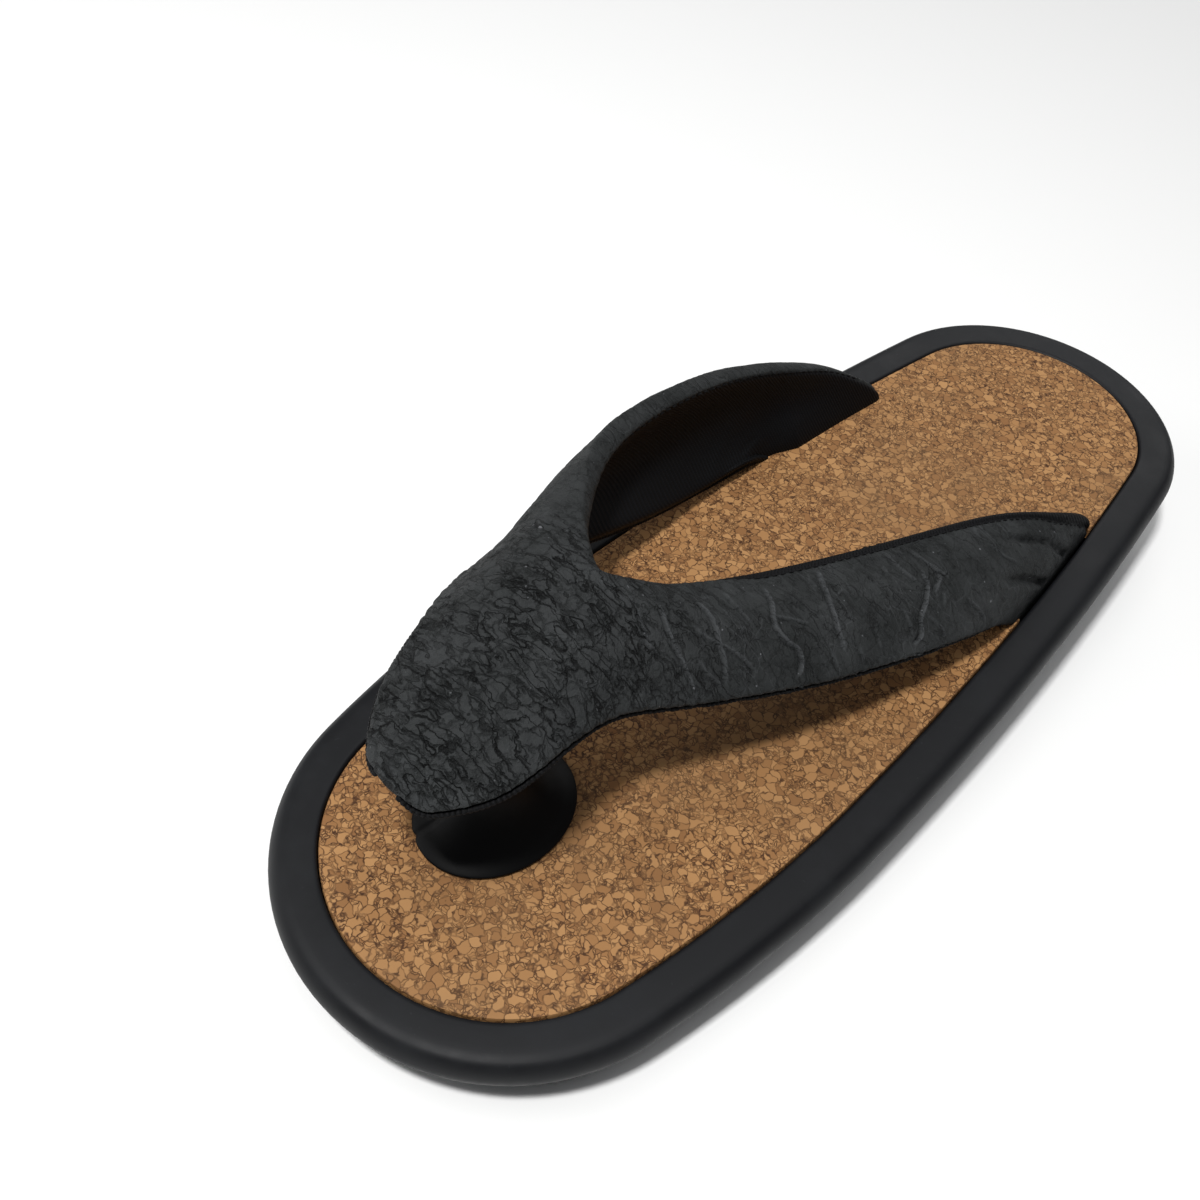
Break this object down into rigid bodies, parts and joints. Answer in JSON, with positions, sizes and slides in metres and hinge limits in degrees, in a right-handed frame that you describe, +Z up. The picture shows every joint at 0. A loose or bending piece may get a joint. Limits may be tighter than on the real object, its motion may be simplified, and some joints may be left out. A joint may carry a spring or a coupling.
{
  "type": "thong sandal",
  "caption": "Left thong sandal with an oval two-layer rubber sole, an inlaid cork footbed, a trumpet-shaped toe post and a padded Y strap.",
  "frame": {"origin": "centre of the box around the shoe, on the floor under the sole", "axes": "+Z up, +Y from toe to heel along the shoe's middle line, +X towards the lateral (little-toe) side of this left shoe"},
  "size_m": [0.1042, 0.2806, 0.0605],
  "materials": {
    "outsole": "matte black moulded rubber, slightly greyer than the rim",
    "midsole": "satin blue-black moulded rubber with a rounded rim",
    "insole": "agglomerated cork, sanded and waxed",
    "toe_post": "smooth black moulded rubber",
    "upper": "charcoal crinkled plant-fibre sheet over padding, black twill lining"
  },
  "bodies": {
    "root": {"outsole": "outsole", "midsole": "midsole", "insole": "insole", "toe_post": "toe_post", "upper": "upper"}
  },
  "joints": []
}
